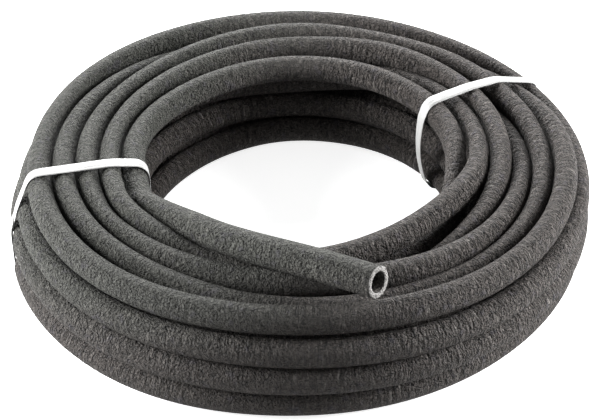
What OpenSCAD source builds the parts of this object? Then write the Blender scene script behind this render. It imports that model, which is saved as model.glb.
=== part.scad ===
// Soaker hose: one long porous rubber hose, wound into a round coil and held by two strapping bands.
// Millimetres. The coil stands on z = 0 with its axis on Z. The free end leaves the top layer at the
// left, crosses the other turns and stops in a plain cut at the front right.

/* [Hose] */
// Outside diameter of the round hose
hose_od = 19; // [17:0.5:21]
// Diameter of the bore
hose_id = 12.7; // [9:0.1:15]
// Length of the straight cut end, whose bore takes a fitting
cut_end_length = 36; // [20:1:50]

/* [Coil] */
// Height of one wound turn, which the winding squeezes slightly oval
turn_height = 18.6; // [17:0.1:20]
// Width of one wound turn, measured across the coil
turn_width = 16.3; // [15:0.1:18]
// Centre radius of the innermost turn of each layer, floor layer first
inner_turns = [116, 113, 113, 111.5]; // [105:0.5:120]
// Centre radius of the outermost turn of each layer, floor layer first
outer_turns = [186, 186.5, 184, 173]; // [165:0.5:195]
// Turns that show side by side on the top layer
top_turns = 5; // [4:1:6]

/* [Bands] */
// Width of the strapping band
band_width = 9; // [4:0.5:12]
// Thickness of the strapping band
band_thickness = 0.6; // [0.4:0.1:1]
// Play between a band and the crowns of the turns
band_play = 0.05; // [0.02:0.01:0.2]
// Direction of the left band, as an angle about Z from +X
left_band_angle = 191; // [185:1:200]
// Direction of the right band, as an angle about Z from +X
right_band_angle = 27.5; // [20:0.5:35]

/* [Hidden] */

rubber = "dimgray";
cut_rubber = "darkgray";
strap = "whitesmoke";

// Centre of the free stretch of hose: out of the innermost top turn, up over the crowns of its
// neighbours and on to the back of the straight cut end.
free_route = [
    [-106, -44, 62], [-97, -60, 65], [-84, -74, 68], [-69, -89, 72],
    [-51, -106, 76], [-32, -121, 80], [-12, -134, 83], [9, -146, 85]
];
cut_face = [42, -164, 86];
steps_per_span = 3;
tube_sides = 12;

curve_sides = 180;
// How far the solid core reaches past the centres of the wall turns, into the grooves between them.
core_lap = 3;
top_layer = len(outer_turns) - 1;
coil_height = turn_height * len(outer_turns);
coil_reach = max(outer_turns) + turn_height;
cut_lead = cut_face - free_route[len(free_route) - 1];
cut_direction = cut_lead / norm(cut_lead);
cut_back = cut_face - cut_direction * cut_end_length;

function layer_z(layer) = (layer + 0.5) * turn_height;
// A round turn drawn turn_height wide, moved so that its outer side is where the oval's would be.
function round_inset() = (turn_height - turn_width) / 2;
function first_radius(layer) = inner_turns[layer] + round_inset();
function last_radius(layer) = outer_turns[layer] - round_inset();

// Catmull-Rom curve through the free route and on to the back of the cut end.
function route_point(points, i) =
    i < 0 ? 2 * points[0] - points[1]
    : i >= len(points) ? 2 * points[len(points) - 1] - points[len(points) - 2]
    : points[i];
function blend(a, b, c, d, t) =
    0.5 * (2 * b + (c - a) * t + (2 * a - 5 * b + 4 * c - d) * t * t
    + (3 * b - a - 3 * c + d) * t * t * t);
function smooth(points, steps) = concat(
    [for (i = [0:len(points) - 2], s = [0:steps - 1])
        blend(route_point(points, i - 1), points[i], points[i + 1], route_point(points, i + 2), s / steps)],
    [points[len(points) - 1]]);

// Direction of the swept centre line at one of its points; the last ring faces the cut end squarely.
function unit(v) = v / norm(v);
function heading(path, i) =
    i == len(path) - 1 ? cut_direction
    : unit(path[i + 1] - path[max(i - 1, 0)]);
function side_of(direction) = unit(cross(direction, [0, 0, 1]));
function ring(path, i, radius, sides) =
    let (
        ahead = heading(path, i),
        across = side_of(ahead),
        above = cross(across, ahead)
    )
    [for (k = [0:sides - 1])
        path[i] + radius * (cos(360 * k / sides) * across + sin(360 * k / sides) * above)];

module swept_tube(path, radius, sides) {
    count = len(path);
    points = [for (i = [0:count - 1], p = ring(path, i, radius, sides)) p];
    walls = [for (i = [0:count - 2], k = [0:sides - 1]) [
        i * sides + k,
        i * sides + (k + 1) % sides,
        (i + 1) * sides + (k + 1) % sides,
        (i + 1) * sides + k
    ]];
    start_cap = [for (k = [sides - 1:-1:0]) k];
    end_cap = [for (k = [0:sides - 1]) (count - 1) * sides + k];
    polyhedron(points, concat([start_cap, end_cap], walls), convexity = 4);
}

// Stands a child's +Z along a direction, with its origin at a point.
module aim(at, direction) {
    translate(at)
        rotate([0, acos(direction[2]), atan2(direction[1], direction[0])])
            children();
}

// One turn's circle in the coil's section, where x is the radius.
module turn_circle(layer, radius) {
    translate([radius, layer_z(layer)]) circle(d = turn_height, $fn = 48);
}

// Right half of the coil's section: the turns that show, backed by one solid core with a flat foot.
module coil_section() {
    for (layer = [0:top_layer]) {
        turn_circle(layer, first_radius(layer));
        turn_circle(layer, last_radius(layer));
    }
    top_pitch = (last_radius(top_layer) - first_radius(top_layer)) / (top_turns - 1);
    for (i = [1:top_turns - 2])
        turn_circle(top_layer, first_radius(top_layer) + i * top_pitch);
    polygon(concat(
        [for (layer = [0:top_layer]) [last_radius(layer) + core_lap, layer_z(layer)]],
        [for (layer = [top_layer:-1:0]) [first_radius(layer) - core_lap, layer_z(layer)]]));
    translate([first_radius(0), 0]) square([last_radius(0) - first_radius(0), turn_height / 2]);
}

// Taut outline round the section, standing off the turns by a given distance.
module taut_outline(stand_off, floor_z) {
    intersection() {
        hull()
            for (layer = [0:top_layer], radius = [first_radius(layer), last_radius(layer)])
                translate([radius, layer_z(layer)]) circle(r = turn_height / 2 + stand_off, $fn = 32);
        translate([0, floor_z]) square([coil_reach + stand_off, coil_height + turn_height]);
    }
}

// Keeps what lies in a straight strip as wide as a band, running out from the axis.
module band_strip(angle, height) {
    rotate([0, 0, angle])
        translate([0, -band_width / 2, 0])
            cube([coil_reach + turn_height, band_width, height]);
}

module hose_coil() {
    color(rubber)
        difference() {
            rotate_extrude($fn = curve_sides) coil_section();
            band_strip(left_band_angle, band_thickness);
            band_strip(right_band_angle, band_thickness);
        }
}

module hose_free_end() {
    path = smooth(concat(free_route, [cut_back]), steps_per_span);
    color(rubber) swept_tube(path, hose_od / 2, tube_sides);
}

module hose_cut_end() {
    color(cut_rubber)
        aim(cut_back, cut_direction)
            difference() {
                cylinder(d = hose_od, h = cut_end_length, $fn = 64);
                translate([0, 0, -1]) cylinder(d = hose_id, h = cut_end_length + 2, $fn = 64);
            }
}

module band(angle) {
    color(strap)
        intersection() {
            rotate_extrude($fn = curve_sides)
                difference() {
                    taut_outline(band_play + band_thickness, 0);
                    taut_outline(band_play, band_thickness);
                }
            band_strip(angle, coil_height + turn_height);
        }
}

module band_left() {
    band(left_band_angle);
}

module band_right() {
    band(right_band_angle);
}

hose_coil();
hose_free_end();
hose_cut_end();
band_left();
band_right();
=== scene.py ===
"""A soaker hose wound into a coil and held by two strapping bands.

Metres, in the CAD frame: the coil stands on z = 0 with its axis on Z, and the free end is cut off at
the front right. The hose is one tube from its buried end to its free end. Its turns start from a
plan, settle against each other, and flatten where they touch.
"""

import math

import bpy
import numpy as np
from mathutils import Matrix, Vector


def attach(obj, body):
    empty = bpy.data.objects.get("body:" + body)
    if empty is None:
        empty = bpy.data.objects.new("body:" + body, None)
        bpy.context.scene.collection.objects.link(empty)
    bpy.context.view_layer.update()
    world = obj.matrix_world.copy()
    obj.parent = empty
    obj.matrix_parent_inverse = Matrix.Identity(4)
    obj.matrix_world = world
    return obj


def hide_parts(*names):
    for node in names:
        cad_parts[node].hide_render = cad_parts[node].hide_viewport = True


MM = 0.001

# The hose and its turns, as in the CAD model.
HOSE_OD = 0.019
HOSE_ID = 0.0127
TURN_WIDTH = 0.0163
TURN_HEIGHT = 0.0186
LAYERS = 4
LAYER_HEIGHTS = [TURN_HEIGHT * (layer + 0.5) for layer in range(LAYERS)]
FREE_ROUTE = [
    (-0.106, -0.044, 0.062),
    (-0.097, -0.060, 0.065),
    (-0.084, -0.074, 0.068),
    (-0.069, -0.089, 0.072),
    (-0.051, -0.106, 0.076),
    (-0.032, -0.121, 0.080),
    (-0.012, -0.134, 0.083),
    (0.009, -0.146, 0.085),
]
CUT_FACE = (0.042, -0.164, 0.086)
CUT_END_LENGTH = 0.036

# The bands, as in the CAD model.
BAND_WIDTH = 0.009
BAND_THICKNESS = 0.0006
LEFT_BAND_ANGLE = 191
RIGHT_BAND_ANGLE = 27.5

# The winding plan has eight stations a turn, from the left (-X) round by the front (-Y). Each turn
# is its radii and heights at the stations, in millimetres. A hidden turn lies part of the way from
# its layer's first lane to its last one, with one share for its front half and one for its back half.
# The plan starts in the middle of its first turn, at the buried end, and stops at the free route.
STATIONS = 8
FIRST_STATION = 4
BOTTOM_FIRST_LANE = [110, 112, 113, 113, 113, 116, 114, 107]
BOTTOM_LAST_TURN = ([187, 188, 181, 180, 184, 186, 187, 188], [9, 9, 9, 9, 9, 11, 16, 23])
BOTTOM_SHARES = [(0, 0), (0, 0.2), (0.25, 0.4), (0.5, 0.6), (0.75, 0.8)]
SECOND_FIRST_TURN = ([187, 187, 182, 185, 187, 185, 182, 178], [28, 28, 28, 29, 33, 31, 28, 28])
SECOND_LAST_LANE = [115, 114, 114, 115, 116, 118, 119, 118]
SECOND_SHARES = [(0.2, 0.25), (0.4, 0.5), (0.6, 0.75), (0.8, 1)]
SECOND_LAST_TURN = ([115, 114, 114, 116, 122, 142, 160, 164], [28, 28, 28, 30, 40, 46, 46, 46])
UPPER_TURNS = [
    ([163, 163, 163, 166, 170, 177, 182, 182], [46, 46, 46, 46, 46, 46, 46, 46]),
    ([181, 183, 180, 185, 184, 180, 178, 176], [46, 46, 46, 47, 56, 58, 63, 65]),
    ([173, 176, 172, 177, 176, 170, 158, 156], [65, 65, 65, 65, 65, 54, 50, 61]),
    ([157, 155, 159, 162, 161, 157, 156, 146], [65, 64, 59, 61, 64, 63, 62, 64]),
    ([142, 141, 139, 146, 148, 146, 146, 145], [65, 65, 64, 63, 61, 50, 46, 46]),
    ([145, 145, 142, 138, 135, 140, 139, 128], [46, 46, 49, 60, 65, 65, 64, 65]),
    ([126, 126, 116, 110, 120, 125, 122, 128], [65, 66, 61, 63, 65, 60, 47, 47]),
    ([129, 114, 111, 111, 107, 108, 111, 109], [46, 52, 49, 50, 62, 65, 64, 63]),
]
PLAN_END = (113, 64)

# How the plan settles. Each round moves the turns by part of their overlap and back by their hold,
# and the turns that show, counted from the buried end, are held more firmly. A settled turn is
# squeezed to these shares of its width and height.
SETTLE_STEPS = 12
SETTLE_ROUNDS = 260
SETTLE_PUSH = 0.7
HIDDEN_HOLD = 0.02
SHOWN_HOLD = 0.08
SHOWN_TURNS = [5, 6, *range(13, 21)]
SQUEEZE = (0.90, 0.95)
# The turns make room for the free end above them, which counts as this share of its diameter from
# its middle to its underside. The last part of the winding leads into it, and makes no room.
FREE_END_HALF = 0.45
LEADING_TURN = 0.6

# Fineness of the meshes: steps between points of the curves, and gaps between rings.
RINGS_PER_STEP = 2
TUBE_SIDES = 24
FREE_CURVE_STEPS = 16
FREE_RING_GAP = 0.0035
BAND_GAP = 0.0015

# Unevenness, as how much and over how many rings.
RADIUS_WANDER = (0.0003, 14)
HEIGHT_WANDER = (0.0002, 11)
GIRTH_WANDER = (0.012, 9)
BAND_WANDER = (0.03, 20)
SEED = 7

# What presses on a ring: the nearest stretches of hose that cross its plane, give or take the room,
# apart from the rings next to it. Both sides keep a small gap. Rings are compared in blocks, which
# saves memory.
NEIGHBOURS = 8
NEIGHBOUR_REACH = 0.022
PLANE_ROOM = 0.0032
OWN_RINGS = 20
TOUCH_GAP = 0.0001
RING_BLOCK = 256

# The free end isn't squeezed by other turns, and swells a little towards its cut face. Both begin at
# a ring counted from the end of the winding, and take a number of rings.
ROUNDING = (-12, 30)
SWELLING = (20, 50)
FREE_END_SWELL = 0.05
FREE_END_FIRMNESS = 0.7

# The cut ends: rings in the cut face and down the bore, its rounded edges, and the askew cut.
FACE_RINGS = 4
BORE_RINGS = 34
LIP = 0.0004
CUT_SLANT = 12

# How the rubber makes room for the bands: a dent at the outside of the coil and a lift off the floor,
# which begin to ease out a little beside the band.
BAND_BITE = 0.003
FLOOR_ROOM = 0.0009
DENT_SIDE = 0.001
DENT_EASE = 0.006
# How the bands lie: taut over the hose's points that are this close beside them and this close to the
# turns' height, off the rubber by a little play, and just off the floor.
RESTS_ON = 0.003
CROWN_ROOM = 0.004
BAND_PLAY = 0.0003
FLOOR_GAP = 0.00002
BAND_SMOOTHING = 3
# They overlap themselves where they are welded, low on the outer side, lifted by a bit over their
# thickness.
WELD_LENGTH = 0.03
WELD_HEIGHT = 0.012
WELD_LIFT = 1.15
# The run inside the eye can bow into it and turn on edge, most at its middle.
BOW_DEPTH = 0.012
BOW_TOP = 0.86
BOW_FULLNESS = 0.8
TWIST_DEPTH = 0.02
# Each band's name, CAD node, direction, bow and twist.
BANDS = [
    ("left_band", "band_left", LEFT_BAND_ANGLE, 0, 0),
    ("right_band", "band_right", RIGHT_BAND_ANGLE, 0.005, 0.2),
]

# The tubes' strips on the page that their texture is baked to.
HOSE_STRIPS = 19
BAND_STRIPS = 4
PAGE_MARGIN = 0.01
STRIP_MARGIN = 0.08
CAP_CORNER = 0.001

# Texture scales, in features a metre. The ridges run across the hose, and the scratches across the cut.
CRUMB_SCALE = 640
GRAIN_SCALE = 850
LUMP_SCALE = 300
RIDGE_SCALE = (400, 110, 1)
HUE_SCALE = 150
PATCH_SCALE = 14
CUT_GRAIN_SCALE = 1400
SCRATCH_SCALE = (260, 900, 2600)
PORE_SCALE = 1000
SCUFF_SCALE = (90, 900, 1)
GRIME_SCALE = 70
MOTTLE_SCALE = 3
STRAP_RIB = 0.0011
STRAP_CROSS = 0.0022

# Depths of the relief.
RUBBER_RELIEF = 0.0038
CUT_RELIEF = 0.0004
STRAP_RELIEF = 0.00006

# Colours.
RUBBER_GREENISH = (0.036, 0.037, 0.032)
RUBBER_WARM = (0.038, 0.033, 0.030)
CRUMB_GREENISH = (0.096, 0.097, 0.086)
CRUMB_WARM = (0.096, 0.084, 0.077)
# Painted highlight: a pale colour on the ridges' crests that stands in for glints of light on them.
PAINTED_RIDGE_HIGHLIGHT = (0.205, 0.190, 0.176)
PURPLISH_CRUMB = (0.050, 0.046, 0.062)
# Painted shade: near black, put in the pits between crumbs, in the ridges' furrows and in the cut's
# pores.
PAINTED_SHADE = (0.005, 0.005, 0.005)
CUT_DARK = (0.17, 0.165, 0.16)
CUT_PALE = (0.34, 0.33, 0.32)
STRAP_WHITE = (0.35, 0.35, 0.345)
STRAP_SCUFF = (0.29, 0.29, 0.285)
STRAP_GRIME = (0.27, 0.265, 0.25)
FLOOR_PALE = (0.90, 0.90, 0.90)
FLOOR_WHITE = (0.94, 0.94, 0.94)

# The camera at the photograph's viewing angle.
CAMERA_PLACE = (-0.020, -0.8557, 0.651)
CAMERA_AIM = (0.0, -0.017, 0.030)
CAMERA_LENS = 92.8
SENSOR_WIDTH = 36

# The studio: a floor that glows a little, and softboxes to the left, to the right and at the back,
# each with its place, size and power.
FLOOR_REACH = 4
FLOOR_GLOW = 0.8
WORLD_LIGHT = 0.26
LIGHT_AIM = (0, 0, 0.04)
SOFTBOXES = [
    ("left_softbox", (-1.35, 0.1, 0.4), 0.8, 74),
    ("right_softbox", (1.35, 0.1, 0.42), 0.7, 62),
    ("back_softbox", (-0.1, 1.3, 0.55), 0.7, 42),
]


def unit(v):
    return v / np.linalg.norm(v, axis=-1, keepdims=True)


def smooth_curve(points, steps):
    """Catmull-Rom curve through the points, with that many steps from each to the next."""
    points = np.asarray(points, float)
    padded = np.vstack([2 * points[0] - points[1], points, 2 * points[-1] - points[-2]])
    t = (np.arange(steps) / steps)[:, None, None]
    a, b, c, d = (padded[i : len(points) - 1 + i][None] for i in range(4))
    curve = 0.5 * (2 * b + (c - a) * t + (2 * a - 5 * b + 4 * c - d) * t**2)
    curve = curve + 0.5 * (3 * b - a - 3 * c + d) * t**3
    inner = curve.transpose(1, 0, 2).reshape(-1, points.shape[1])
    return np.vstack([inner, points[-1]])


def lengths_along(points):
    return np.concatenate([[0], np.cumsum(np.linalg.norm(np.diff(points, axis=0), axis=1))])


def evenly_spaced(points, gap):
    """Points about a gap apart along the line through the given ones."""
    along = lengths_along(points)
    at = np.linspace(0, along[-1], math.ceil(along[-1] / gap) + 1)
    return np.stack([np.interp(at, along, column) for column in points.T], axis=1)


def ease(amount, span):
    """Smooth rise from 0 to 1 while the amount goes from 0 to the span."""
    t = np.clip(amount / span, 0, 1)
    return t * t * (3 - 2 * t)


def wander(count, how_uneven, rng):
    """A smooth random row of numbers, from how much it varies and over how many items."""
    amount, step = how_uneven
    knots = rng.uniform(-1, 1, (count // step + 3, 1))
    return amount * smooth_curve(knots, step)[:count, 0]


# ---------------------------------------------------------------------------- the winding


def hidden_turns(first, last, height, shares):
    """Turns on one layer, each with its shares of the way from the first lane to the last one."""
    first, last = np.array(first), np.array(last)
    heights = np.full(STATIONS, height)
    return [(first + (last - first) * np.repeat(pair, STATIONS // 2), heights) for pair in shares]


def winding_plan():
    """Radius and height at every station from the buried end to the start of the free route."""
    low, high = LAYER_HEIGHTS[0] / MM, LAYER_HEIGHTS[1] / MM
    bottom = hidden_turns(BOTTOM_FIRST_LANE, BOTTOM_LAST_TURN[0], low, BOTTOM_SHARES)
    second = hidden_turns(SECOND_FIRST_TURN[0], SECOND_LAST_LANE, high, SECOND_SHARES)
    turns = [*bottom, BOTTOM_LAST_TURN, SECOND_FIRST_TURN, *second, SECOND_LAST_TURN, *UPPER_TURNS]
    stations = np.hstack([np.array(turn, float) for turn in turns]).T
    return np.vstack([stations[FIRST_STATION:], PLAN_END]) * MM


def free_end_curve(start):
    """Centre line of the free end, from the points that lead into it to the cut face."""
    cut_face = np.array(CUT_FACE)
    cut_back = cut_face - unit(cut_face - np.array(FREE_ROUTE[-1])) * CUT_END_LENGTH
    return smooth_curve([*start, *FREE_ROUTE, cut_back, cut_face], FREE_CURVE_STEPS)


def free_end_in_columns(azimuths):
    """Where the free end crosses each azimuth, as radius, height and its half width along the radius."""
    curve = free_end_curve([])
    radius = np.hypot(curve[:, 0], curve[:, 1])
    around = np.degrees(np.arctan2(curve[:, 1], curve[:, 0])) % 360
    heading = unit(np.gradient(curve, axis=0))
    outward = curve[:, :2] / radius[:, None]
    slant = np.abs((heading[:, :2] * outward).sum(1))
    half_width = HOSE_OD / 2 / np.sqrt(1 - slant**2)
    columns = azimuths % 360
    crossed = (columns >= around[0]) & (columns <= around[-1])
    radius, height, half_width = (
        np.interp(columns, around, values) for values in (radius, curve[:, 2], half_width)
    )
    return crossed, radius, height, half_width


def overlap_push(apart, reach):
    """Half of what would bring two ovals that overlap to touching."""
    scaled = apart / reach
    distance = np.linalg.norm(scaled, axis=-1, keepdims=True)
    # A turn doesn't push itself.
    distance = np.where(distance < 1e-6, np.inf, distance)
    return 0.5 * np.clip(1 - distance, 0, None) * scaled / distance * reach


def settle(plan, azimuths, turn_of):
    """Pushes the turns of a plan apart until they only press on each other, and off the floor."""
    per_turn = STATIONS * SETTLE_STEPS
    column_of = np.round(azimuths * per_turn / 360).astype(int) % per_turn
    columns = [np.nonzero(column_of == column)[0] for column in range(per_turn)]
    half = np.array([TURN_WIDTH / 2 * SQUEEZE[0], TURN_HEIGHT / 2 * SQUEEZE[1]])
    crossed, free_radius, free_height, free_half = free_end_in_columns(azimuths)
    crossed &= np.arange(len(plan)) < len(plan) - per_turn * LEADING_TURN
    free_centre = np.stack([free_radius, free_height], axis=1)
    free_above = np.full_like(free_half, half[1] + HOSE_OD * FREE_END_HALF)
    free_reach = np.stack([half[0] + free_half, free_above], axis=1)
    hold = np.where(np.isin(turn_of, SHOWN_TURNS), SHOWN_HOLD, HIDDEN_HOLD)[:, None]
    settled = plan.copy()
    for _ in range(SETTLE_ROUNDS):
        push = np.zeros_like(settled)
        for members in columns:
            apart = settled[members][:, None] - settled[members][None]
            push[members] += overlap_push(apart, 2 * half).sum(1)
        # The free end stays where it is, so the turn under it makes all the room.
        push[crossed] += 2 * overlap_push(settled - free_centre, free_reach)[crossed]
        settled += SETTLE_PUSH * push + hold * (plan - settled)
        moved = settled - plan
        for _ in range(2):
            moved[1:-1] += 0.25 * (moved[2:] + moved[:-2] - 2 * moved[1:-1])
        settled = plan + moved
        settled[:, 1] = np.maximum(settled[:, 1], LAYER_HEIGHTS[0])
    return settled


def hose_centre_line():
    """The whole hose's centre line, and how many of its points belong to the wound turns."""
    coarse = smooth_curve(winding_plan(), SETTLE_STEPS)
    station = FIRST_STATION + np.arange(len(coarse)) / SETTLE_STEPS
    azimuths = 180 + station * 360 / STATIONS
    settled = settle(coarse, azimuths, (station // STATIONS).astype(int))
    fine = smooth_curve(settled, RINGS_PER_STEP)
    rng = np.random.default_rng(SEED)
    fine[:, 0] += wander(len(fine), RADIUS_WANDER, rng)
    fine[:, 1] = np.maximum(fine[:, 1] + wander(len(fine), HEIGHT_WANDER, rng), LAYER_HEIGHTS[0])
    angle = np.radians(np.linspace(azimuths[0], azimuths[-1], len(fine)))
    wound = np.stack([fine[:, 0] * np.cos(angle), fine[:, 0] * np.sin(angle), fine[:, 1]], axis=1)
    # The last wound points lead into the free end, so that it leaves them smoothly.
    lead = wound[[-9, -5, -1]]
    free = free_end_curve(lead)[(len(lead) - 1) * FREE_CURVE_STEPS :]
    free = evenly_spaced(free, FREE_RING_GAP)
    return np.vstack([wound, free[1:]]), len(wound)


# ---------------------------------------------------------------------------- the hose's mesh


def section_frames(line):
    """Directions along the hose, across it and above it, at each point of its centre line."""
    along = unit(np.gradient(line, axis=0))
    across = unit(np.cross(along, [0, 0, 1]))
    return along, across, np.cross(across, along)


def side_angles():
    """Directions of a ring's points. The first is the lowest, so that the texture's seam is hidden."""
    return np.linspace(0, 2 * math.pi, TUBE_SIDES, endpoint=False) - math.pi / 2


def close_neighbours(line, along):
    """For each ring, where the nearest other stretches of hose cross its plane."""
    index = np.arange(len(line))
    offsets = np.full((len(line), NEIGHBOURS, 3), np.nan)
    for start in range(0, len(line), RING_BLOCK):
        block = index[start : start + RING_BLOCK]
        apart = line[None] - line[block][:, None]
        ahead = np.einsum("ijk,ik->ij", apart, along[block])
        distance = np.linalg.norm(apart, axis=2)
        wrong = np.abs(ahead) > PLANE_ROOM
        wrong |= np.abs(index[None] - block[:, None]) < OWN_RINGS
        distance = np.where(wrong | (distance > NEIGHBOUR_REACH), np.inf, distance)
        nearest = np.argsort(distance, axis=1)[:, :NEIGHBOURS]
        found = np.take_along_axis(distance, nearest, axis=1) < np.inf
        chosen = np.take_along_axis(apart, nearest[..., None], axis=1)
        offsets[block] = np.where(found[..., None], chosen, np.nan)
    return offsets


def hose_sections(line, frames, wound_count):
    """Outline of the hose at each point: an oval, flattened on each side where it meets a neighbour."""
    along, across, above = frames
    past = np.arange(len(line)) - wound_count
    roundness = ease(past - ROUNDING[0], ROUNDING[1])
    swell = FREE_END_SWELL * ease(past - SWELLING[0], SWELLING[1])
    girth = 1 + wander(len(line), GIRTH_WANDER, np.random.default_rng(SEED + 1)) + swell
    half_width = (TURN_WIDTH + (HOSE_OD - TURN_WIDTH) * roundness) / 2 * girth
    half_height = (TURN_HEIGHT + (HOSE_OD - TURN_HEIGHT) * roundness) / 2 * girth
    angle = side_angles()
    outline = np.stack(
        [half_width[:, None] * np.cos(angle), half_height[:, None] * np.sin(angle)], axis=2
    )
    offsets = close_neighbours(line, along)
    for k in range(NEIGHBOURS):
        offset = offsets[:, k]
        flat = np.stack([(offset * across).sum(1), (offset * above).sum(1)], axis=1)
        gap = np.linalg.norm(flat, axis=1)
        towards = flat / gap[:, None]
        own = np.hypot(half_width * towards[:, 0], half_height * towards[:, 1])
        keep = np.nan_to_num(np.minimum(1, (gap / 2 - TOUCH_GAP) / own), nan=1)
        squeeze = ((1 - keep) * (1 - FREE_END_FIRMNESS * roundness))[:, None]
        towards = np.nan_to_num(towards)
        facing = np.clip((outline * towards[:, None]).sum(2), 0, None)
        outline -= (facing * squeeze)[..., None] * towards[:, None]
    return outline


def round_rings(centres, across, above, radius):
    angle = side_angles()
    sideways = np.cos(angle)[None, :, None] * across[:, None]
    upward = np.sin(angle)[None, :, None] * above[:, None]
    return centres[:, None] + radius * (sideways + upward)


def cut_end_rings(line, rings, frames, end):
    """Rings that close one end of the hose: a rounded outer edge, the cut face, a lip and the bore."""
    along, across, above = frames
    inward = -1 if end == len(line) - 1 else 1
    face = rings[end] + inward * LIP * along[end]
    middle = line[end]
    reach = np.linalg.norm(rings[end] - middle, axis=1, keepdims=True)
    edge = middle + (rings[end] - middle) * (1 - LIP / reach)
    inner = (middle[None], across[end][None], above[end][None])
    mouth = round_rings(*inner, HOSE_ID / 2 + 2 * LIP)[0]
    lip = round_rings(*inner, HOSE_ID / 2 + LIP / 2)[0] + inward * LIP * along[end]
    deeper = end + inward * np.arange(1, BORE_RINGS + 1)
    bore = round_rings(line[deeper], across[deeper], above[deeper], HOSE_ID / 2)
    # The knife went through a little askew, leaning the face up and outward.
    front = np.array([face, edge, mouth, lip])
    aslant = (front - middle) @ unit(across[end] + above[end])
    slant = math.tan(math.radians(CUT_SLANT)) * aslant
    front = front + inward * slant[..., None] * along[end]
    return np.concatenate([front, bore])


def band_directions(degrees):
    """Horizontal directions outward along a band's plane and across the band."""
    angle = math.radians(degrees)
    outward = np.array([math.cos(angle), math.sin(angle), 0])
    return outward, np.array([-math.sin(angle), math.cos(angle), 0])


def room_for_bands(points):
    """Lifts the rubber where the bands pass under it, and dents it where they bite at the outside."""
    shaped = points.copy()
    shaped[..., 2] = np.maximum(shaped[..., 2], 0)
    for degrees in (LEFT_BAND_ANGLE, RIGHT_BAND_ANGLE):
        outward, sideways = band_directions(degrees)
        reach = points @ outward
        beside = np.abs(points @ sideways) - BAND_WIDTH / 2
        near = (1 - ease(beside - DENT_SIDE, DENT_EASE)) * (reach > 0)
        shaped[..., 2] = np.maximum(shaped[..., 2], FLOOR_ROOM * near)
        bitten = np.clip(reach - reach[beside < 0].max() + BAND_BITE, 0, None) * near
        shaped -= bitten[..., None] * outward
    return shaped


def tube_faces(rings, sides):
    """Quads between rings of points that follow each other."""
    i, k = np.meshgrid(np.arange(rings - 1), np.arange(sides), indexing="ij")
    this, after = i * sides + k, i * sides + (k + 1) % sides
    return np.stack([this, after, after + sides, this + sides], axis=-1).reshape(-1, 4)


def mesh_object(name, points, faces, materials):
    mesh = bpy.data.meshes.new(name)
    mesh.from_pydata(np.asarray(points).tolist(), [], faces)
    mesh.validate()
    for material in materials:
        mesh.materials.append(material)
    made = bpy.data.objects.new(name, mesh)
    bpy.context.scene.collection.objects.link(made)
    mesh.shade_smooth()
    return made


def closed_tube(name, rings, materials, strips):
    """A tube through the rings with its ends closed, and its two texture maps.

    "Run" holds metres along the tube and around it, for the materials. "OFBake" lays the whole tube
    out in the unit square, as strips side by side.
    """
    count, sides = rings.shape[:2]
    start_cap = list(range(sides - 1, -1, -1))
    end_cap = [(count - 1) * sides + k for k in range(sides)]
    faces = [*tube_faces(count, sides).tolist(), start_cap, end_cap]
    made = mesh_object(name, rings.reshape(-1, 3), faces, materials)
    along = lengths_along(rings.mean(axis=1))
    girth = np.median(np.linalg.norm(np.roll(rings, -1, axis=1) - rings, axis=2).sum(axis=1))
    i, k = np.meshgrid(np.arange(count - 1), np.arange(sides), indexing="ij")
    corner_ring = np.stack([i, i, i + 1, i + 1], axis=-1)
    corner_side = np.stack([k, k + 1, k + 1, k], axis=-1)
    run = np.stack([along[corner_ring], corner_side / sides * girth], axis=-1)
    strip_rings = math.ceil((count - 1) / strips)
    strip = (i // strip_rings)[..., None]
    along_strip = (corner_ring - strip * strip_rings) / strip_rings
    across_page = PAGE_MARGIN + (1 - 2 * PAGE_MARGIN) * along_strip
    up_page = (strip + STRIP_MARGIN + (1 - 2 * STRIP_MARGIN) * corner_side / sides) / strips
    page = np.stack([across_page, up_page], axis=-1)
    # The two end caps hardly show, so a corner of the page does for them.
    caps = np.full((2 * sides, 2), CAP_CORNER)
    for layer_name, corners in (("Run", run), ("OFBake", page)):
        layer = made.data.uv_layers.new(name=layer_name)
        layer.data.foreach_set("uv", np.concatenate([corners.reshape(-1, 2), caps]).ravel())
    return made


def make_hose(rubber, cut_rubber):
    line, wound_count = hose_centre_line()
    frames = section_frames(line)
    across, above = frames[1:]
    outline = hose_sections(line, frames, wound_count)
    rings = line[:, None] + outline[..., :1] * across[:, None] + outline[..., 1:] * above[:, None]
    rings = room_for_bands(rings)
    buried = cut_end_rings(line, rings, frames, 0)[::-1]
    cut = cut_end_rings(line, rings, frames, len(line) - 1)
    # The cut face's outer ring takes the place of the hose's own last ring at each end.
    rings = np.concatenate([buried, rings[1:-1], cut])
    hose = closed_tube("hose", rings, [rubber, cut_rubber], HOSE_STRIPS)
    face_index = np.zeros(len(hose.data.polygons), int)
    for first_ring in (len(buried) - FACE_RINGS, len(rings) - len(cut)):
        last_ring = first_ring + FACE_RINGS - 1
        face_index[first_ring * TUBE_SIDES : last_ring * TUBE_SIDES] = 1
    hose.data.polygons.foreach_set("material_index", face_index)
    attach(hose, "root")
    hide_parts("hose_coil", "hose_free_end", "hose_cut_end")
    return rings.reshape(-1, 3)


# ---------------------------------------------------------------------------- the bands


def turn_of_corner(a, b, c):
    return (b[0] - a[0]) * (c[1] - a[1]) - (b[1] - a[1]) * (c[0] - a[0])


def half_outline(ordered):
    """The corners that a taut line keeps on its way along ordered points."""
    kept = []
    for point in ordered:
        while len(kept) > 1 and turn_of_corner(kept[-2], kept[-1], point) <= 0:
            kept.pop()
        kept.append(point)
    return kept[:-1]


def convex_outline(points):
    """Corners of the tightest loop round flat points, anticlockwise."""
    ordered = sorted(set(map(tuple, points.tolist())))
    return np.array(half_outline(ordered) + half_outline(ordered[::-1]))


def band_normals(loop):
    ahead = unit(np.roll(loop, -1, axis=0) - np.roll(loop, 1, axis=0))
    return np.stack([ahead[:, 1], -ahead[:, 0]], axis=1)


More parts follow.
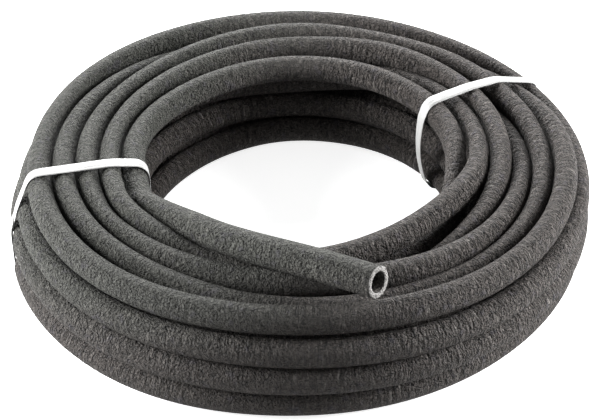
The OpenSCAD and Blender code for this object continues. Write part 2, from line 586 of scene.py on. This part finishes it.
def band_loop(hose_points, degrees, bow):
    """The band's middle line in its own plane (radius, height), starting low on its outer side."""
    outward, sideways = band_directions(degrees)
    near = np.abs(hose_points @ sideways) < BAND_WIDTH / 2 + RESTS_ON
    near &= hose_points @ outward > 0
    # The free end crosses above the turns that the band ties.
    near &= hose_points[:, 2] < LAYERS * TURN_HEIGHT + CROWN_ROOM
    section = np.stack([hose_points[near] @ outward, hose_points[near, 2]], axis=1)
    loop = convex_outline(section)
    loop = evenly_spaced(np.vstack([loop, loop[:1]]), BAND_GAP)[:-1]
    for _ in range(BAND_SMOOTHING):
        loop = (np.roll(loop, 1, axis=0) + 2 * loop + np.roll(loop, -1, axis=0)) / 4
    loop += band_normals(loop) * (BAND_PLAY + BAND_THICKNESS / 2)
    inner_run = loop[:, 0] < section[:, 0].min() + BOW_DEPTH
    part_way_up = np.clip(loop[:, 1] / (BOW_TOP * loop[:, 1].max()), 0, 1)
    loop[:, 0] -= inner_run * bow * np.sin(part_way_up * math.pi) ** BOW_FULLNESS
    loop[:, 1] = np.maximum(loop[:, 1], BAND_THICKNESS / 2)
    start = np.argmin(np.linalg.norm(loop - [loop[:, 0].max(), WELD_HEIGHT], axis=1))
    return np.roll(loop, -start, axis=0)


def band_section():
    """Outline of a band: a flat strip with rounded edges, as (across the band, off the rubber)."""
    thick, wide = BAND_THICKNESS / 2, BAND_WIDTH / 2
    edge = [(wide - thick, -thick), (wide - 0.3 * thick, -0.7 * thick), (wide, 0)]
    edge += [(wide - 0.3 * thick, 0.7 * thick), (wide - thick, thick)]
    return np.array(edge + [(0, thick)] + [(-w, h) for w, h in edge[::-1]] + [(0, -thick)])


def band_tilt(loop, order, twist, rng):
    """How far the band leans about its middle line at each ring, in radians."""
    part_way_up = np.clip(loop[order, 1] / loop[:, 1].max(), 0, 1)
    inner_run = loop[order, 0] < loop[:, 0].min() + TWIST_DEPTH
    return wander(len(order), BAND_WANDER, rng) + twist * inner_run * np.sin(part_way_up * math.pi)


def make_band(name, node, hose_points, degrees, bow, twist, strap):
    outward, sideways = band_directions(degrees)
    loop = band_loop(hose_points, degrees, bow)
    lap = round(WELD_LENGTH / BAND_GAP)
    order = np.arange(len(loop) + lap) % len(loop)
    lift = ease(np.arange(len(order)) - len(loop) + lap / 2, lap / 2) * BAND_THICKNESS * WELD_LIFT
    normals = band_normals(loop)[order]
    centre = loop[order] + normals * lift[:, None]
    tilt = band_tilt(loop, order, twist, np.random.default_rng(SEED + round(degrees)))
    tilt = tilt[:, None, None]
    section = band_section()
    wide, off = section[:, 0][None, :, None], section[:, 1][None, :, None]
    # A leaning band stands on its lower edge.
    off = off * np.cos(tilt) + wide * np.sin(tilt) + np.abs(np.sin(tilt)) * BAND_WIDTH / 2
    wide = wide * np.cos(tilt)
    flat = centre[:, None] + normals[:, None] * off
    rings = flat[..., :1] * outward + flat[..., 1:] * np.array([0, 0, 1]) - wide * sideways
    rings[..., 2] = np.maximum(rings[..., 2], FLOOR_GAP)
    band = closed_tube(name, rings, [strap], BAND_STRIPS)
    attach(band, "root")
    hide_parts(node)


# ---------------------------------------------------------------------------- material nodes


def new_material(name, roughness, specular=0.5):
    """A material with its node tree and its shader."""
    material = bpy.data.materials.new(name)
    material.use_nodes = True
    tree = material.node_tree
    shader = tree.nodes["Principled BSDF"]
    shader.inputs["Roughness"].default_value = roughness
    shader.inputs["Specular IOR Level"].default_value = specular
    return material, tree, shader


def place(tree, source, scale):
    """Texture coordinates stretched by a scale; the source is Object or the name of a texture map."""
    if source == "Object":
        coordinates = tree.nodes.new("ShaderNodeTexCoord").outputs["Object"]
    else:
        uv_map = tree.nodes.new("ShaderNodeUVMap")
        uv_map.uv_map = source
        coordinates = uv_map.outputs["UV"]
    mapping = tree.nodes.new("ShaderNodeMapping")
    mapping.inputs["Scale"].default_value = scale if isinstance(scale, tuple) else (scale,) * 3
    tree.links.new(coordinates, mapping.inputs["Vector"])
    return mapping.outputs["Vector"]


def noise(tree, vector, detail=2, roughness=0.5):
    node = tree.nodes.new("ShaderNodeTexNoise")
    node.inputs["Scale"].default_value = 1
    node.inputs["Detail"].default_value = detail
    node.inputs["Roughness"].default_value = roughness
    tree.links.new(vector, node.inputs["Vector"])
    return node.outputs["Fac"]


def cells(tree, vector):
    node = tree.nodes.new("ShaderNodeTexVoronoi")
    node.inputs["Scale"].default_value = 1
    tree.links.new(vector, node.inputs["Vector"])
    return node.outputs["Distance"]


def ramp(tree, value, low, high, at_low=0.0, at_high=1.0):
    """The value spread from low..high to at_low..at_high, and held beyond."""
    node = tree.nodes.new("ShaderNodeMapRange")
    node.interpolation_type = "SMOOTHSTEP"
    sockets = ("From Min", "From Max", "To Min", "To Max")
    for socket, number in zip(sockets, (low, high, at_low, at_high)):
        node.inputs[socket].default_value = number
    tree.links.new(value, node.inputs["Value"])
    return node.outputs["Result"]


def set_or_link(tree, socket, value):
    if isinstance(value, bpy.types.NodeSocket):
        tree.links.new(value, socket)
    elif isinstance(value, tuple):
        socket.default_value = (*value, 1)
    else:
        socket.default_value = value


def maths(tree, operation, *values):
    node = tree.nodes.new("ShaderNodeMath")
    node.operation = operation
    for socket, value in zip(node.inputs, values):
        set_or_link(tree, socket, value)
    return node.outputs[0]


def plus(tree, a, b):
    return maths(tree, "ADD", a, b)


def minus(tree, a, b):
    return maths(tree, "SUBTRACT", a, b)


def times(tree, a, b):
    return maths(tree, "MULTIPLY", a, b)


def mix(tree, factor, a, b):
    """Colour a where the factor is 0 and b where it is 1."""
    node = tree.nodes.new("ShaderNodeMix")
    node.data_type = "RGBA"
    sockets = [socket for socket in node.inputs if socket.enabled]
    for socket, value in zip(sockets, (factor, a, b)):
        set_or_link(tree, socket, value)
    return next(socket for socket in node.outputs if socket.enabled)


def bump(tree, height, distance):
    node = tree.nodes.new("ShaderNodeBump")
    node.inputs["Distance"].default_value = distance
    node.inputs["Strength"].default_value = 1
    tree.links.new(height, node.inputs["Height"])
    return node.outputs["Normal"]


def split_axis(tree, vector, axis):
    node = tree.nodes.new("ShaderNodeSeparateXYZ")
    tree.links.new(vector, node.inputs[0])
    return node.outputs[axis]


# ---------------------------------------------------------------------------- materials


def rubber_warmth(tree, patches):
    """How warm the rubber is: warmer to the right and low down, greener on the left of the top."""
    position = place(tree, "Object", (1, 1, 4))
    rightness = minus(tree, split_axis(tree, position, "X"), split_axis(tree, position, "Z"))
    return ramp(tree, plus(tree, rightness, times(tree, patches, 0.12)), -0.32, -0.15)


def porous_rubber():
    """Recycled crumb rubber: paler crumbs and ridges across the hose, with painted shade in the pits
    between crumbs and in the ridges' furrows, and painted highlights on the ridges' crests.
    """
    material, tree, shader = new_material("porous_rubber", 0.75, specular=0.25)
    crumbs = cells(tree, place(tree, "Object", CRUMB_SCALE))
    grain = noise(tree, place(tree, "Object", GRAIN_SCALE), detail=3, roughness=0.55)
    lumps = noise(tree, place(tree, "Object", LUMP_SCALE))
    ridges = noise(tree, place(tree, "Run", RIDGE_SCALE), roughness=0.55)
    patches = noise(tree, place(tree, "Object", PATCH_SCALE))
    hue_spots = noise(tree, place(tree, "Object", HUE_SCALE), detail=1)
    warmth = rubber_warmth(tree, patches)

    body = mix(tree, warmth, RUBBER_GREENISH, RUBBER_WARM)
    pale = mix(tree, warmth, CRUMB_GREENISH, CRUMB_WARM)
    crumb_tone = ramp(tree, plus(tree, grain, times(tree, lumps, 0.5)), 0.6, 1.0)
    colour = mix(tree, crumb_tone, body, pale)

    # Ridges show most on the warmer side, in patches.
    patchy = ramp(tree, patches, 0.3, 0.6, 0.35, 1.0)
    ridge_room = times(tree, patchy, ramp(tree, warmth, 0, 1, 0.35, 1.0))
    # Painted highlights on the ridges' crests.
    painted_ridge_highlights = times(tree, ramp(tree, ridges, 0.58, 0.74, 0.0, 0.8), ridge_room)
    # Painted shade in the ridges' furrows.
    painted_furrow_shade = times(tree, ramp(tree, ridges, 0.3, 0.46, 0.85, 0.0), ridge_room)
    colour = mix(tree, painted_ridge_highlights, colour, PAINTED_RIDGE_HIGHLIGHT)
    colour = mix(tree, painted_furrow_shade, colour, PAINTED_SHADE)
    colour = mix(tree, ramp(tree, hue_spots, 0.6, 0.74, 0.0, 0.4), colour, PURPLISH_CRUMB)

    between_crumbs = ramp(tree, crumbs, 0.5, 0.8, 0.0, 0.7)
    # Painted shade in the pits between crumbs, which the relief also sinks.
    shaded_pits = times(tree, between_crumbs, ramp(tree, grain, 0.4, 0.6, 1.0, 0.1))
    colour = mix(tree, shaded_pits, colour, PAINTED_SHADE)

    relief = minus(tree, plus(tree, grain, lumps), shaded_pits)
    relief = plus(tree, relief, times(tree, times(tree, ridges, ridge_room), 2.0))
    tree.links.new(colour, shader.inputs["Base Color"])
    tree.links.new(bump(tree, relief, RUBBER_RELIEF), shader.inputs["Normal"])
    return material


def cut_rubber():
    """The fresh cut through the wall: pale, with saw-like scratches and small open pores, painted dark
    as their shade.
    """
    material, tree, shader = new_material("cut_rubber", 0.85, specular=0.2)
    grain = noise(tree, place(tree, "Object", CUT_GRAIN_SCALE), detail=3)
    scratches = noise(tree, place(tree, "Object", SCRATCH_SCALE))
    pores = ramp(tree, cells(tree, place(tree, "Object", PORE_SCALE)), 0.5, 0.8)
    tone = plus(tree, times(tree, grain, 0.6), times(tree, scratches, 0.4))
    colour = mix(tree, ramp(tree, tone, 0.35, 0.65), CUT_DARK, CUT_PALE)
    # Painted shade in the open pores.
    colour = mix(tree, times(tree, pores, 0.6), colour, PAINTED_SHADE)
    tree.links.new(colour, shader.inputs["Base Color"])
    relief = bump(tree, minus(tree, tone, pores), CUT_RELIEF)
    tree.links.new(relief, shader.inputs["Normal"])
    return material


def strapping():
    """White plastic strap: fine ribs along it, an embossed cross pattern and a few scuffs."""
    material, tree, shader = new_material("strapping", 0.42)
    run = place(tree, "Run", 1)
    along, around = split_axis(tree, run, "X"), split_axis(tree, run, "Y")
    ribs = maths(tree, "SINE", times(tree, around, 2 * math.pi / STRAP_RIB))
    cross = maths(tree, "SINE", times(tree, along, 2 * math.pi / STRAP_CROSS))
    emboss = plus(tree, ribs, times(tree, cross, ribs))
    scuffs = noise(tree, place(tree, "Run", SCUFF_SCALE), detail=3)
    grime = noise(tree, place(tree, "Object", GRIME_SCALE), detail=3)
    colour = mix(tree, ramp(tree, scuffs, 0.5, 0.75), STRAP_WHITE, STRAP_SCUFF)
    colour = mix(tree, ramp(tree, grime, 0.55, 0.8, 0.0, 0.5), colour, STRAP_GRIME)
    tree.links.new(colour, shader.inputs["Base Color"])
    tree.links.new(ramp(tree, scuffs, 0.3, 0.7, 0.36, 0.55), shader.inputs["Roughness"])
    tree.links.new(bump(tree, emboss, STRAP_RELIEF), shader.inputs["Normal"])
    return material


def pale_floor():
    """Matte white sweep. It glows a little, so that it stays pale in the coil's shadow."""
    material, tree, shader = new_material("pale_floor", 0.7, specular=0.0)
    mottle = noise(tree, place(tree, "Object", MOTTLE_SCALE))
    tree.links.new(mix(tree, mottle, FLOOR_PALE, FLOOR_WHITE), shader.inputs["Base Color"])
    shader.inputs["Emission Color"].default_value = (1, 1, 1, 1)
    shader.inputs["Emission Strength"].default_value = FLOOR_GLOW
    return material


# ---------------------------------------------------------------------------- the studio


def point_at(thing, position, aim):
    """Puts a camera or light at a position and turns it to look at the aim."""
    thing.location = position
    thing.rotation_mode = "QUATERNION"
    thing.rotation_quaternion = (Vector(aim) - Vector(position)).to_track_quat("-Z", "Y")
    bpy.context.scene.collection.objects.link(thing)


def make_camera():
    data = bpy.data.cameras.new("camera")
    data.lens = CAMERA_LENS
    data.sensor_width = SENSOR_WIDTH
    camera = bpy.data.objects.new("camera", data)
    point_at(camera, CAMERA_PLACE, CAMERA_AIM)
    bpy.context.scene.camera = camera


def make_floor():
    near, far = -FLOOR_REACH, FLOOR_REACH
    corners = [(near, near, 0), (far, near, 0), (far, far, 0), (near, far, 0)]
    floor = mesh_object("floor", corners, [(0, 1, 2, 3)], [pale_floor()])
    # Light from the floor would fill in the shaded sides of the turns, which are dark in a studio
    # where only the softboxes light them.
    floor.visible_diffuse = False


def make_lights():
    world = bpy.data.worlds.new("studio")
    bpy.context.scene.world = world
    world.use_nodes = True
    background = world.node_tree.nodes["Background"]
    background.inputs["Color"].default_value = (1, 1, 1, 1)
    background.inputs["Strength"].default_value = WORLD_LIGHT
    for name, position, size, power in SOFTBOXES:
        data = bpy.data.lights.new(name, "AREA")
        data.shape = "SQUARE"
        data.size = size
        data.energy = power
        point_at(bpy.data.objects.new(name, data), position, LIGHT_AIM)


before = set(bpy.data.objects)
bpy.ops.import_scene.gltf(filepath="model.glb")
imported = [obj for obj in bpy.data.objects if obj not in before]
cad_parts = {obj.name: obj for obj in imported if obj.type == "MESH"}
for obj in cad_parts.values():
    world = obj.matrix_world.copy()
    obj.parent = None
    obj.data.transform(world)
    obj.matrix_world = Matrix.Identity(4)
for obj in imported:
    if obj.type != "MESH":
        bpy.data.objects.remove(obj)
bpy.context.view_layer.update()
bpy.context.scene.view_settings.view_transform = "Standard"
make_camera()
hose_points = make_hose(porous_rubber(), cut_rubber())
strap = strapping()
for name, node, degrees, bow, twist in BANDS:
    make_band(name, node, hose_points, degrees, bow, twist, strap)
make_floor()
make_lights()
